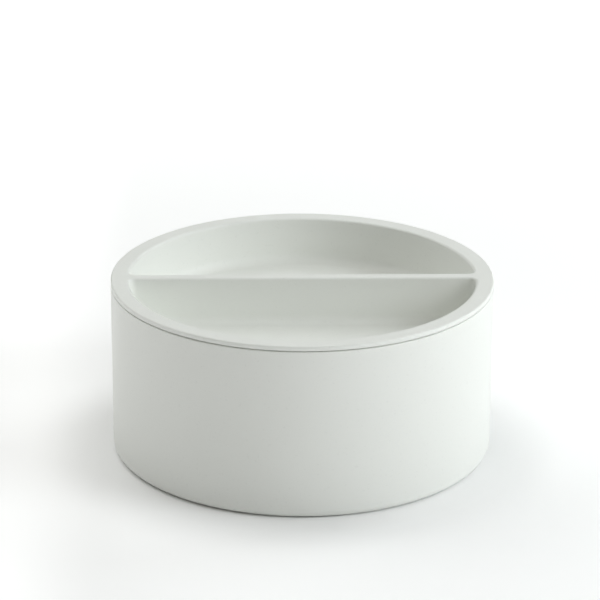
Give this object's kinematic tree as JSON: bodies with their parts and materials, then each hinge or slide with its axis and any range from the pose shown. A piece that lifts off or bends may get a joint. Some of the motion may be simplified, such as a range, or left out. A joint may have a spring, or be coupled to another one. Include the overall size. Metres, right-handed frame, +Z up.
{
  "type": "go stone bowl",
  "caption": "Low round straight-sided game stone bowl with a flush lift-off lid, whose sunken tray is parted by a straight wall that serves as the grip.",
  "frame": {"origin": "centre of the standing plane under the bowl, on the bowl's axis", "axes": "+Z up the bowl's axis, through the lid; the wall across the lid's tray runs along X; -Y is the front"},
  "size_m": [0.14, 0.14, 0.0652],
  "materials": {
    "bowl_shell": "satin off-white moulded resin",
    "lid_tray": "satin off-white moulded resin"
  },
  "bodies": {
    "bowl": {"bowl": "bowl_shell"},
    "lid": {"lid": "lid_tray"}
  },
  "joints": [
    {"name": "lid_lift", "type": "slide", "parent": "bowl", "child": "lid", "axis": [0, 0, 1], "range_m": [0, 0.08]}
  ]
}
